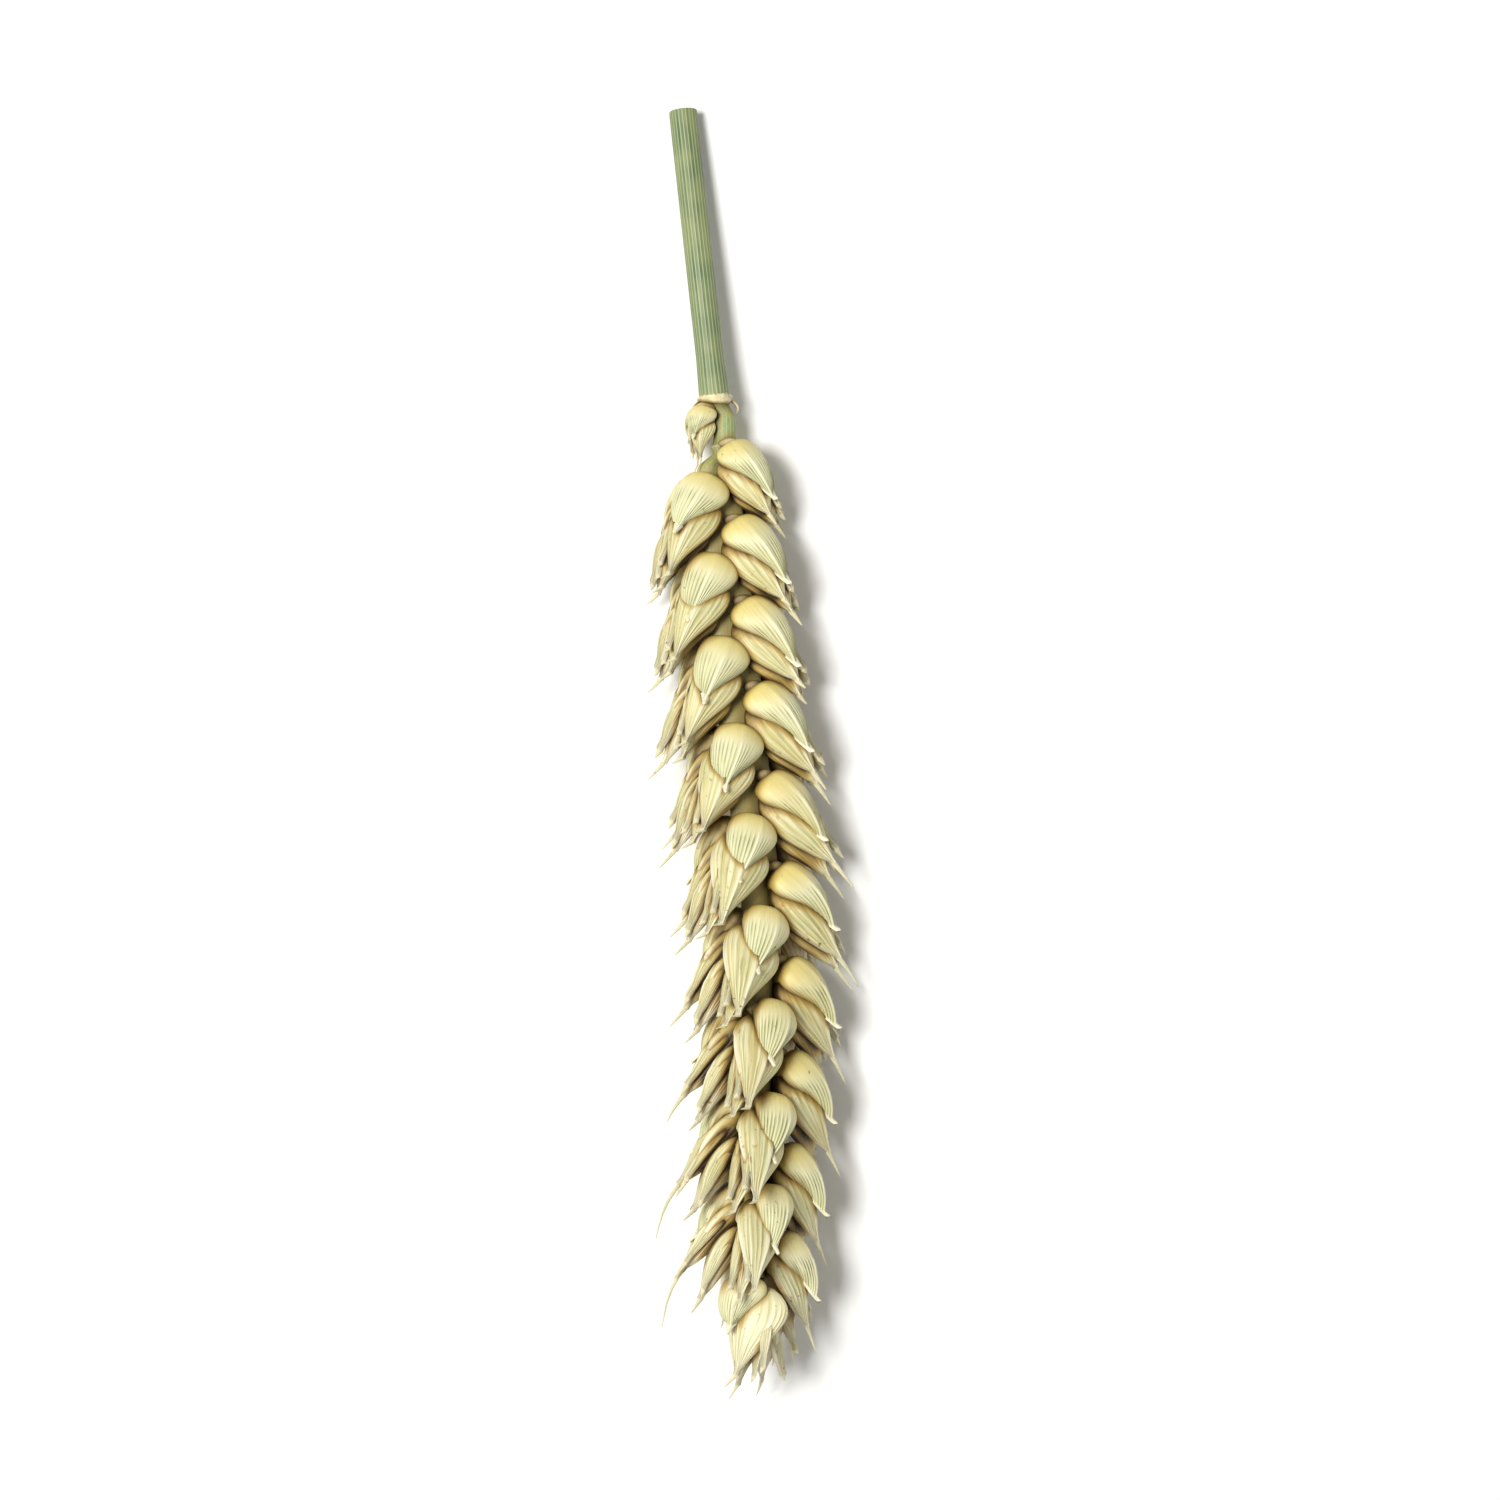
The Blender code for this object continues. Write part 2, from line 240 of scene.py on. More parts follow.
def open_edit(piece):
    deselect()
    piece.select_set(True)
    bpy.context.view_layer.objects.active = piece
    bpy.ops.object.mode_set(mode="EDIT")
    bpy.ops.mesh.select_mode(type="VERT")


def close_edit():
    bpy.ops.object.mode_set(mode="OBJECT")


def pick(piece, chosen):
    """In edit mode, selects the vertices with these numbers and no others."""
    bpy.ops.mesh.select_all(action="DESELECT")
    mesh = bmesh.from_edit_mesh(piece.data)
    mesh.verts.ensure_lookup_table()
    for n in chosen:
        mesh.verts[n].select = True
    mesh.select_flush_mode()
    bmesh.update_edit_mesh(piece.data)


def mark(piece, name, values):
    """Writes one number for each vertex, for the finish to read."""
    layer = piece.data.attributes.get(name) or piece.data.attributes.new(name, "FLOAT", "POINT")
    layer.data.foreach_set("value", values)


def join(pieces, name):
    deselect()
    for piece in pieces:
        piece.select_set(True)
    bpy.context.view_layer.objects.active = pieces[0]
    bpy.ops.object.join()
    pieces[0].name = pieces[0].data.name = name
    return pieces[0]


def unit_ball(name, sides, rings):
    """A ball of radius 1, and for each vertex its ring from the base and its angle from +Y."""
    deselect()
    bpy.ops.mesh.primitive_uv_sphere_add(segments=sides, ring_count=rings, radius=1.0)
    piece = bpy.context.object
    piece.name = piece.data.name = name
    places = []
    for vertex in piece.data.vertices:
        x, y, z = vertex.co
        ring = round(rings * math.acos(max(-1.0, min(1.0, -z))) / math.pi)
        places.append((ring, math.degrees(math.atan2(x, y)) if 0 < ring < rings else 0.0))
    return piece, places


def shape_rings(piece, places, profile, base, top):
    """Moves every ring to its height, and widens it to its radius."""
    rings = len(profile) + 1
    heights = [base] + [height for height, radius in profile] + [top]
    for k in range(rings + 1):
        old = -math.cos(math.pi * k / rings)
        pick(piece, [n for n, (ring, angle) in enumerate(places) if ring == k])
        if 0 < k < rings:
            grow = profile[k - 1][1] / math.sin(math.pi * k / rings)
            bpy.ops.transform.resize(value=(grow, grow, 1), center_override=(0, 0, old))
        bpy.ops.transform.translate(value=(0, 0, heights[k] - old))


def size_scale(piece, places, make):
    """Gives a unit scale its length, its two half widths and its two thicknesses."""
    half = 0.5 * make["width"]
    origin = (0, 0, 0)
    pick(piece, [n for n, (ring, angle) in enumerate(places) if 0 < angle < 180])
    bpy.ops.transform.resize(value=(half * make["inner"], 1, 1), center_override=origin)
    pick(piece, [n for n, (ring, angle) in enumerate(places) if angle < 0 or angle == 180])
    bpy.ops.transform.resize(value=(half, 1, 1), center_override=origin)
    pick(piece, [n for n, (ring, angle) in enumerate(places) if abs(angle) <= 90])
    bpy.ops.transform.resize(value=(1, make["back"], 1), center_override=origin)
    pick(piece, [n for n, (ring, angle) in enumerate(places) if abs(angle) > 90])
    bpy.ops.transform.resize(value=(1, make["belly"], 1), center_override=origin)
    bpy.ops.mesh.select_all(action="SELECT")
    bpy.ops.transform.resize(value=(1, 1, make["length"]), center_override=origin)


def columns(places, limit):
    """The angles at which the vertices of a scale stand, up to a limit on both sides."""
    return sorted({angle for ring, angle in places if abs(angle) <= limit})


def flatten_flanks(piece, places, share):
    """Makes the keel a ridge with flatter flanks beside it."""
    for angle in columns(places, 89):
        across, high = abs(math.sin(math.radians(angle))), math.cos(math.radians(angle))
        flat = ((1 - share) * high + share * (1 - across)) / high
        pick(piece, [n for n, (ring, other) in enumerate(places) if other == angle])
        bpy.ops.transform.resize(value=(1, flat, 1), center_override=(0, 0, 0))


def draw_in_margins(piece, places, inner, outer):
    """The two margins stop short of the point, so the open end runs slantwise to it."""
    for angle in columns(places, 180):
        across, high = math.sin(math.radians(angle)), math.cos(math.radians(angle))
        back = abs(across) ** 1.3 if high > 0 else 1.0
        share = 1 - back * (inner * (1 + across) + outer * (1 - across)) / 2
        pick(piece, [n for n, (ring, other) in enumerate(places) if other == angle])
        bpy.ops.transform.resize(value=(1, 1, share), center_override=(0, 0, 0))


def raise_lines(piece, places, angles, steps, height):
    """Raises lines that run along a scale, more and more from each of the steps on."""
    for first, last in steps:
        pick(piece, [n for n, (ring, angle) in enumerate(places)
                     if first <= ring <= last and any(abs(angle - a) < 1.0 for a in angles)])
        bpy.ops.transform.shrink_fatten(value=height)


def fullness(make, t):
    return math.sin(math.pi * t ** make["shoulder"]) ** make["blunt"]


def mark_places(piece, places, heights):
    """Notes how far along each vertex is, and the sine and cosine of its angle from the keel."""
    mark(piece, "along", [heights[ring] for ring, angle in places])
    mark(piece, "side", [math.sin(math.radians(angle)) for ring, angle in places])
    mark(piece, "back", [math.cos(math.radians(angle)) for ring, angle in places])


def model_glume(left):
    """A plump boat whose open end runs slantwise to a hooked beak, with a rolled pale lip."""
    make, keel = FINE_GLUMES[left], GLUME_KEEL[left]
    piece, places = unit_ball("glume", GLUME_SIDES, GLUME_RINGS)
    lip = ((1.004, 0.97), (0.985, 0.84), (0.94, 0.66))
    body = GLUME_RINGS - 1 - len(lip)
    profile = []
    for k in range(1, body + 1):
        t = 0.5 - 0.5 * math.cos(math.pi * k / body)
        full = fullness(make, min(t, 0.999))
        profile.append((t, (full ** 4 + MOUTH ** 4) ** 0.25 if t > 0.5 else full))
    profile += [(height, MOUTH * share) for height, share in lip]
    open_edit(piece)
    shape_rings(piece, places, profile, 0.0, 0.88)
    flatten_flanks(piece, places, 0.22)
    size_scale(piece, places, make)
    for k in range(1, GLUME_RINGS + 1):
        t = min(1.0, profile[k - 1][0] if k < GLUME_RINGS else 1.0)
        pick(piece, [n for n, (ring, angle) in enumerate(places) if ring == k and angle > 0])
        narrow = 1 - GLUME_SLANT[left] * smooth((t - 0.25) / 0.75)
        bpy.ops.transform.resize(value=(narrow, 1, 1), center_override=(0, 0, 0))
        pick(piece, [n for n, (ring, angle) in enumerate(places) if ring == k])
        rise = 0.0004 * math.sin(math.pi * t)
        bpy.ops.transform.translate(value=(-GLUME_SWAY * t * t, rise, 0))
    third, half = body // 3, body // 2
    raise_lines(piece, places, [0], [(third, body + 1), (half, body + 1)], keel)
    raise_lines(piece, places, [-5, 5], [(third + 2, body)], 0.5 * keel)
    nerves = [a for a in range(-90, 91, 10) if a]
    raise_lines(piece, places, nerves, [(half, body - 1), (half + 2, body - 1), (half + 4, body - 2)], 0.000024)
    pick(piece, [n for n, (ring, angle) in enumerate(places) if third <= ring < body and abs(angle) > 108])
    bpy.ops.transform.resize(value=(0.86, 0.9, 1), center_override=(0, 0, 0))
    draw_in_margins(piece, places, *GLUME_DRAWN_IN[left])
    for first, height in ((body - 3, 0.00004), (body - 1, 0.00009), (body, 0.00010)):
        pick(piece, [n for n, (ring, angle) in enumerate(places)
                     if first <= ring <= body + 1 and -40 < angle < 95])
        bpy.ops.transform.shrink_fatten(value=height)
    for reach, move in ((27, 0.00022 * BEAK[left]), (17, 0.00026 * BEAK[left]), (8, 0.00030 * BEAK[left])):
        pick(piece, [n for n, (ring, angle) in enumerate(places)
                     if body - 1 <= ring <= body + 2 and abs(angle) < reach])
        bpy.ops.transform.translate(value=(-0.2 * move, 0.55 * move, move))
    close_edit()
    heights = [0.0] + [p[0] for p in profile[:body]] + [1.02, 1.05, 1.09, 1.12]
    mark_places(piece, places, heights)
    piece.data.shade_smooth()
    return piece


def model_lemma(name, make, sides, rings, left, form):
    """A keeled scale with flat flanks that runs out in a thin point."""
    piece, places = unit_ball(name, sides, rings)
    taper, narrow, inner = form
    slim = dict(make, blunt=taper, width=make["width"] * narrow, inner=inner)
    awn = ((0.12, 0.86), (0.35, 0.68), (0.62, 0.48), (0.86, 0.30))
    body = rings - 1 - len(awn)
    point = FINE_AWN / (0.5 * slim["width"])
    profile = []
    for k in range(1, body + 1):
        t = math.sin(0.5 * math.pi * k / body) ** 1.15
        profile.append((t, max(fullness(slim, min(t, 0.9995)), point)))
    profile += [(1 + share * MASTER_AWN / slim["length"], point * thin) for share, thin in awn]
    top = 1 + MASTER_AWN / slim["length"]
    open_edit(piece)
    shape_rings(piece, places, profile, 0.0, top)
    flatten_flanks(piece, places, 0.50)
    size_scale(piece, places, slim)
    for k in range(1, rings + 1):
        t = profile[k - 1][0] if k < rings else top
        pick(piece, [n for n, (ring, angle) in enumerate(places) if ring == k and angle > 0])
        across = 1 - LEMMA_SLANT[left] * smooth((t - 0.2) / 0.8)
        bpy.ops.transform.resize(value=(across, 1, 1), center_override=(0, 0, 0))
        pick(piece, [n for n, (ring, angle) in enumerate(places) if ring == k])
        rise = 0.0004 * math.sin(math.pi * min(1.0, t)) + 0.15 * slim["back"] * smooth((t - 0.8) * 5)
        bpy.ops.transform.translate(value=(-LEMMA_SWAY[left] * t * t, rise, 0))
    quarter = body // 4
    apart = 360 // sides * 2
    raise_lines(piece, places, [0], [(quarter, body - 1), (quarter + 3, body - 2)], 0.00008)
    for k in range(-6, 7):
        if k and wobble(k, 3) > -0.55:
            height = 0.000026 * (1 + 0.8 * wobble(k, 9))
            raise_lines(piece, places, [k * apart], [(quarter + 2, body - 2), (body // 2, body - 3)], height)
    pick(piece, [n for n, (ring, angle) in enumerate(places)
                 if quarter <= ring <= body - 2 and abs(angle) > 110])
    bpy.ops.transform.resize(value=(0.80, 0.85, 1), center_override=(0, 0, 0))
    close_edit()
    heights = [0.0] + [min(p[0], 1.0) for p in profile[:body]] + [1 + share for share, thin in awn] + [2.0]
    mark_places(piece, places, heights)
    piece.data.shade_smooth()
    return piece


def mirrored(piece):
    twin = piece.copy()
    twin.data = piece.data.copy()
    bpy.context.scene.collection.objects.link(twin)
    twin.data.transform(Matrix.Scale(-1, 4, (1, 0, 0)))
    twin.data.flip_normals()
    return twin


def set_scale(master, make, sizes, awn, root, direction, back, seed, droop):
    """A copy of a scale, slightly bent in its own way, stood in its place, its point drooping."""
    copy = master.copy()
    copy.data = master.data.copy()
    bpy.context.scene.collection.objects.link(copy)
    length = make["length"]
    stretch = awn / (MASTER_AWN * sizes[2])
    over, out = 0.00035 * wobble(seed, 3), 0.00030 * wobble(seed, 5)
    heights = []
    for vertex in copy.data.vertices:
        x, y, z = vertex.co
        if awn and z > length:
            z = length + (z - length) * stretch
        t = z / length
        vertex.co = (x + over * t * t, y + out * t * t, z)
        heights.append(z)
    z = direction.normalized()
    y = (back - z * back.dot(z)).normalized()
    turn = Matrix((y.cross(z), y, z)).transposed().to_4x4()
    copy.data.transform(Matrix.Translation(root) @ turn @ Matrix.Diagonal((*sizes, 1.0)))
    curve = LONG_AWN_CURVE if awn in LONG_AWNS.values() else AWN_CURVE
    for vertex, z in zip(copy.data.vertices, heights):
        vertex.co += droop * min(z / length, 1.1) ** 2 + curve * max(0.0, z - length) ** 2
    mark(copy, "tint", [0.5 + 0.5 * wobble(seed, 1)] * len(copy.data.vertices))
    return copy


def awn_length(i, k, direction):
    """A short point on most lemmas, shorter where it stands up, and a long one on a few."""
    if i in LONG_AWNS and k == 3:
        return LONG_AWNS[i]
    grown = smooth((i - 4) / 5) * (0.9 if i % 2 else 0.35)
    upright = smooth(2.0 * direction.z)
    return SHORT_AWN * (1 + grown + 0.35 * wobble(i, k)) * (1 - 0.7 * upright)


def model_scales():
    """All glumes, lemmas and paleas, joined in one piece for each kind and row."""
    forms = {}
    for left in (True, False):
        forms["glume", left] = model_glume(left)
        for name, make in (("lower", LOWER_FLORET), ("upper", UPPER_FLORET)):
            forms[name, left] = model_lemma(name, make, LEMMA_SIDES, LEMMA_RINGS, left, FINE_LEMMAS[left])
    forms["palea"] = model_lemma("palea", PALEA, PALEA_SIDES, PALEA_RINGS, False, (PALEA["blunt"], 1.0, 1.0))
    twins = {key: mirrored(form) for key, form in forms.items()}
    groups = {}
    for i, s in enumerate(node_places()):
        left = i % 2 == 0
        size = spikelet_size(i)
        for n, k, root, direction, back, reach, awn, out in scale_places(i, s):
            make = (FINE_GLUMES[left], LOWER_FLORET, UPPER_FLORET)[n]
            key = (("glume", "lower", "upper")[n], left)
            broad = 1.0
            if left and n == 0 and i < SPIKELETS:
                root = root - direction * GLUME_RAISED * size
                reach *= GLUME_LONGER
            if left and k == 2:
                root = root + out * BARED * smooth((i - 6) / 6)
                broad += BROADENED * smooth((i - 6) / 6)
            inward = (1 if left else -1) * (1 if k % 2 == 0 else -1)
            kind = forms if inward > 0 else twins
            name = (("glumes_left" if left else "glumes_right"), "lower_lemmas", "upper_lemmas")[n]
            seed = 7 * i + k
            length = awn_length(i, k, direction) if awn else 0.0
            droop = LEFT_DROOP * (1 - 0.7 * smooth((i - 2) / 6)) if left and n and i < SPIKELETS else NO_DROOP
            groups.setdefault(name, []).append(
                set_scale(kind[key], make, (size * broad, size, size * reach), length, root, direction,
                          back, seed, droop))
            if n:
                ahead = direction + out * PALEA_TURN
                sizes = (size, size, size * reach * PALEA_REACH[n - 1])
                groups.setdefault("paleas", []).append(
                    set_scale(kind["palea"], PALEA, sizes, 0.4 * length, root + out * PALEA_OUT * size,
                              ahead, out + 0.5 * back, seed + 3, droop))
    for form in list(forms.values()) + list(twins.values()):
        bpy.data.objects.remove(form)
    return {name: join(copies, name) for name, copies in groups.items()}


def press_flat(piece):
    """Nothing goes below the ground."""
    open_edit(piece)
    pick(piece, [v.index for v in bmesh.from_edit_mesh(piece.data).verts if v.co.z < PRESSED])
    bpy.ops.transform.resize(value=(1, 1, 0), center_override=(0, 0, PRESSED))
    close_edit()


def model_tube(name, stations, sides):
    """A closed tube with a ring at each station, which has a middle, two directions and a radius."""
    piece, places = unit_ball(name, sides, len(stations) + 1)
    for vertex, (ring, angle) in zip(piece.data.vertices, places):
        middle, right, up, radius = stations[min(max(ring, 1), len(stations)) - 1]
        turn = math.radians(angle)
        if not 0 < ring <= len(stations):
            radius = 0.0
        vertex.co = middle + (right * math.sin(turn) + up * math.cos(turn)) * radius
    piece.data.shade_smooth()
    return piece, places


def model_rachis(places):
    """The zigzag stem inside the ear: each length runs beside the spikelet above it to a knot."""
    stops = [(s + 0.0004, -1 if i % 2 == 0 else 1) for i, s in enumerate(places)]
    point, right, up, along = axis_frame(0.0002)
    stations, shares, open_ends = [(point, right * 1.3, up * 0.95, RACHIS_RADIUS)], [0.2], [1.0]
    for (s, side), (after, other) in zip(stops, stops[1:]):
        for k in range(10):
            share = k / 10
            here = s + (after - s) * share
            point, right, up, along = axis_frame(here)
            open_end = 1 - smooth(here / 0.012)
            bend = side + (other - side) * smooth(share * 2.2)
            if not places[0] < s - 0.0005:
                bend = 1.0
            sway = right * (NODE_SHIFT + 0.00035 * open_end) * bend - up * RACHIS_SUNK * (1 - open_end)
            swell = RACHIS_SWELL * smooth((here - 0.006) / 0.010)
            open_ends.append(open_end)
            knot = 0.00020 * math.exp(-((share - 0.90) / 0.08) ** 2)
            radius = RACHIS_RADIUS + 0.35 * swell + knot - 0.00010 * math.exp(-(share / 0.12) ** 2)
            broad = RACHIS_BROAD + (1.12 - RACHIS_BROAD) * open_end
            flat = RACHIS_FLAT + (1 - RACHIS_FLAT) * open_end
            stations.append((point + sway, right * broad, up * flat, radius))
            shares.append(share)
    piece, spots = model_tube("rachis", stations, 24)
    mark_places(piece, spots, [0.2] + shares + [0.5])
    open_ends = [1.0] + open_ends + [0.0]
    mark(piece, "tint", [open_ends[ring] for ring, angle in spots])
    return piece


def model_collar():
    """The thin ragged ring where the straw ends, with a torn hook hanging at each side."""
    heights = (-0.00035, -0.00030, -0.00015, 0.00005, 0.00025, 0.00045, 0.00055)
    widths = (0.90, 1.03, 1.06, 0.97, 0.98, 0.88, 0.60)
    stations = [axis_frame(s)[:3] + (COLLAR_RADIUS * w,) for s, w in zip(heights, widths)]
    ring_piece, places = model_tube("collar", stations, 60)
    open_edit(ring_piece)
    for k in range(60):
        pick(ring_piece, [n for n, (ring, angle) in enumerate(places)
                          if ring in (3, 4, 5) and abs(angle % 360 - 6 * k) < 0.5])
        bpy.ops.transform.shrink_fatten(value=0.00006 * wobble(k, 2))
        pick(ring_piece, [n for n, (ring, angle) in enumerate(places)
                          if ring in (1, 2, 3) and abs(angle % 360 - 6 * k) < 0.5])
        bpy.ops.transform.translate(value=(0, 0.00016 * wobble(k, 5), 0))
    close_edit()
    mark_places(ring_piece, places, [0.0] + [s / COLLAR_HEIGHT for s in heights] + [1.2])
    mark(ring_piece, "tint", [0.5] * len(places))
    hooks = []
    for side, long in ((-1, 0.0011), (1, 0.0013)):
        point, right, up, along = axis_frame(0.0002)
        stations = []
        for k in range(9):
            share = k / 8
            middle = point + right * side * (COLLAR_RADIUS * 1.02 + 0.0005 * math.sin(2.6 * share))
            middle = middle + along * long * share + up * (0.0002 + 0.0004 * share)
            stations.append((middle, right, up, 0.00022 * (1 - 0.75 * share)))
        hook, spots = model_tube("hook", stations, 12)
        mark_places(hook, spots, [0.0] + [k / 8 for k in range(9)] + [1.0])
        mark(hook, "tint", [0.5] * len(spots))
        hooks.append(hook)
    return join([ring_piece] + hooks, "collar")


def model_straw():
    """The ribbed, hollow straw, cut off square."""
    count, sides = 60, 96
    runs = [(STRAW_BORE_DEPTH - STRAW_LENGTH, 0.9 * STRAW_BORE), (0.0004 - STRAW_LENGTH, STRAW_BORE),
            (0.00005 - STRAW_LENGTH, 1.06 * STRAW_BORE), (-STRAW_LENGTH, 1.15 * STRAW_BORE),
            (-STRAW_LENGTH, STRAW_RADIUS - 0.00012), (0.00004 - STRAW_LENGTH, STRAW_RADIUS - 0.00002)]
    inner = len(runs) - 1
    for k in range(1, count + 1):
        s = -STRAW_LENGTH + (STRAW_LENGTH - 0.0001) * k / count
        runs.append((s, STRAW_RADIUS + STRAW_FLARE * (1 - smooth(-6 * s / STRAW_LENGTH))))
    stations = [axis_frame(s)[:3] + (radius,) for s, radius in runs]
    piece, places = model_tube("straw_fine", stations, sides)
    step_turn = 360.0 / sides
    open_edit(piece)
    for turn, height in ((0, 0.000022), (2, -0.000018)):
        pick(piece, [n for n, (ring, angle) in enumerate(places)
                     if ring > inner and round(angle / step_turn) % 4 == turn])
        bpy.ops.transform.shrink_fatten(value=height)
    close_edit()
    mark_places(piece, places, [0.0] + [-s / STRAW_LENGTH for s, radius in runs] + [0.0])
    mark(piece, "tint", [0.5] * len(places))
    mark(piece, "cut", [1.0 if ring <= inner else 0.0 for ring, angle in places])
    piece.data.set_sharp_from_angle(angle=math.radians(50))
    return piece


def model_pads(places):
    """The pale pad under each spikelet, where it grows from the rachis."""
    pads = []
    master, spots = unit_ball("pad", 16, 10)
    master.data.transform(Matrix.Diagonal((0.00106, 0.00070, 0.00062, 1.0)))
    mark_places(master, spots, [k / 10 for k in range(11)])
    master.data.shade_smooth()
    for i, s in enumerate(places[:-1]):
        point, right, up, along = axis_frame(s)
        out = right * (-1 if i % 2 == 0 else 1)
        for edge in (1, -1):
            pad = master.copy()
            pad.data = master.data.copy()
            bpy.context.scene.collection.objects.link(pad)
            lift = RACHIS_RADIUS + RACHIS_SWELL * smooth((s - 0.006) / 0.010)
            where = point + out * 0.0011 + up * edge * lift * 0.62 - along * 0.0002
            turn = Matrix((out, up * edge, out.cross(up * edge))).transposed().to_4x4()
            pad.data.transform(Matrix.Translation(where) @ turn)
            mark(pad, "tint", [0.5 + 0.5 * wobble(i, 4)] * len(pad.data.vertices))
            pads.append(pad)
    bpy.data.objects.remove(master)
    piece = join(pads, "pads")
    open_edit(piece)
    bpy.ops.mesh.select_all(action="SELECT")
    bpy.ops.mesh.normals_make_consistent(inside=False)
    close_edit()
    return piece


def even_out(piece, values, rounds):
    """Values of the vertices, each drawn towards its neighbours'."""
    values = np.array(values)
    ends = np.empty(2 * len(piece.data.edges), dtype=np.int64)
    piece.data.edges.foreach_get("vertices", ends)
    a, b = ends[0::2], ends[1::2]
    count = np.bincount(ends, minlength=len(values))
    for n in range(rounds):
        total = np.bincount(a, values[b], len(values)) + np.bincount(b, values[a], len(values))
        values = 0.4 * values + 0.6 * total / count
    return values


def shade_crevices(pieces, reach=0.0035):
    """Notes how shut in each point is, from 0 in the open to 1 deep between the scales; the finishes paint shade
    by it.
    """
    corners, faces = [], []
    for piece in pieces:
        first = len(corners)
        corners += [v.co.copy() for v in piece.data.vertices]
        faces += [[first + n for n in face.vertices] for face in piece.data.polygons]
    tree = BVHTree.FromPolygons(corners, faces)
    fan = [(0.0, 0.0)] + [(50.0, 72.0 * k) for k in range(5)]
    for piece in pieces:
        closed = []
        for vertex in piece.data.vertices:
            normal = vertex.normal
            start = vertex.co + normal * 0.00012
            across = normal.orthogonal().normalized()
            other = normal.cross(across)
            total = 0.0
            for tilt, turn in fan:
                tilt, turn = math.radians(tilt), math.radians(turn)
                ray = normal * math.cos(tilt) + (across * math.cos(turn) + other * math.sin(turn)) * math.sin(tilt)
                distance = tree.ray_cast(start, ray, reach)[3]
                if distance is not None:
                    total += 1.0 - distance / reach
            closed.append(total / len(fan))
        mark(piece, "crevice", even_out(piece, closed, 3))


# Finishes

def tone(red, green, blue):
    """A colour given as 0 to 255, as the eye sees it, in the linear values that the finish takes."""
    values = [c / 255 for c in (red, green, blue)]
    return [c / 12.92 if c <= 0.04045 else ((c + 0.055) / 1.055) ** 2.4 for c in values] + [1.0]


def node(tree, kind, *values, **settings):
    """Adds a node; the values feed its inputs in their order, and None leaves one as it is."""
    made = tree.nodes.new("ShaderNode" + kind)
    for key, value in settings.items():
        setattr(made, key, value)
    for socket, value in zip(made.inputs, values):
        feed(tree, socket, value)
    return made


def feed(tree, socket, value):
    if isinstance(value, bpy.types.NodeSocket):
        tree.links.new(value, socket)
    elif value is not None:
        socket.default_value = value


def sums(tree, operation, a, b=None):
    return node(tree, "Math", a, b, operation=operation).outputs[0]


def step(tree, value, low, high):
    """A smooth step from 0 to 1 between low and high, or from 1 to 0 where high is the lower."""
    made = node(tree, "MapRange", value, low, high, 0.0, 1.0, interpolation_type="SMOOTHSTEP")
    return made.outputs[0]


def blend(tree, share, a, b, way="MIX"):
    made = tree.nodes.new("ShaderNodeMix")
    made.data_type, made.blend_type, made.clamp_factor = "RGBA", way, True
    for socket, value in ((made.inputs[0], share), (made.inputs[6], a), (made.inputs[7], b)):
        feed(tree, socket, value)
    return made.outputs[2]


def point_value(tree, name):
    return node(tree, "Attribute", attribute_name=name).outputs["Fac"]


def open_group(name, inputs, outputs):
    tree = bpy.data.node_groups.new(name, "ShaderNodeTree")
    for label, value in inputs:
        socket = tree.interface.new_socket(label, in_out="INPUT", socket_type="NodeSocketFloat")
        socket.default_value = value
    for label in outputs:
        tree.interface.new_socket(label, in_out="OUTPUT", socket_type="NodeSocketFloat")
    return tree, tree.nodes.new("NodeGroupInput").outputs, tree.nodes.new("NodeGroupOutput").inputs


def use_group(tree, group, **values):
    made = tree.nodes.new("ShaderNodeGroup")
    made.node_tree = group
    for label, value in values.items():
        feed(tree, made.inputs[label], value)
    return made.outputs


def make_nerves():
    """Thin lines along a scale that draw together at its point."""
    tree, into, out = open_group("nerves", [("Angle", 0), ("Along", 0), ("Tint", 0), ("Count", 36),
                                            ("Start", 0.4), ("Drift", 1.0)], ["Line", "Relief"])
    place = node(tree, "CombineXYZ", sums(tree, "MULTIPLY", into["Angle"], 2.2),
                 sums(tree, "MULTIPLY", into["Along"], 1.6), sums(tree, "MULTIPLY", into["Tint"], 37.0))
    patch = node(tree, "TexNoise", place.outputs[0], None, 1.6, 2.0).outputs[0]
    drift = sums(tree, "MULTIPLY", sums(tree, "SUBTRACT", patch, 0.5), into["Drift"])
    phase = sums(tree, "ADD", sums(tree, "MULTIPLY", into["Angle"], into["Count"]), drift)
    wave = sums(tree, "COSINE", phase)
    fade = sums(tree, "MULTIPLY", step(tree, sums(tree, "SUBTRACT", into["Along"], into["Start"]), 0.0, 0.25),
                step(tree, into["Along"], 1.0, 0.975))
    strong = node(tree, "MapRange", patch, 0.32, 0.68, 0.25, 1.0).outputs[0]
    line = sums(tree, "MULTIPLY", step(tree, wave, 0.30, 0.98), sums(tree, "MULTIPLY", fade, strong))
    feed(tree, out["Line"], line)
    feed(tree, out["Relief"], sums(tree, "MULTIPLY", wave, sums(tree, "MULTIPLY", fade, strong)))
    return tree


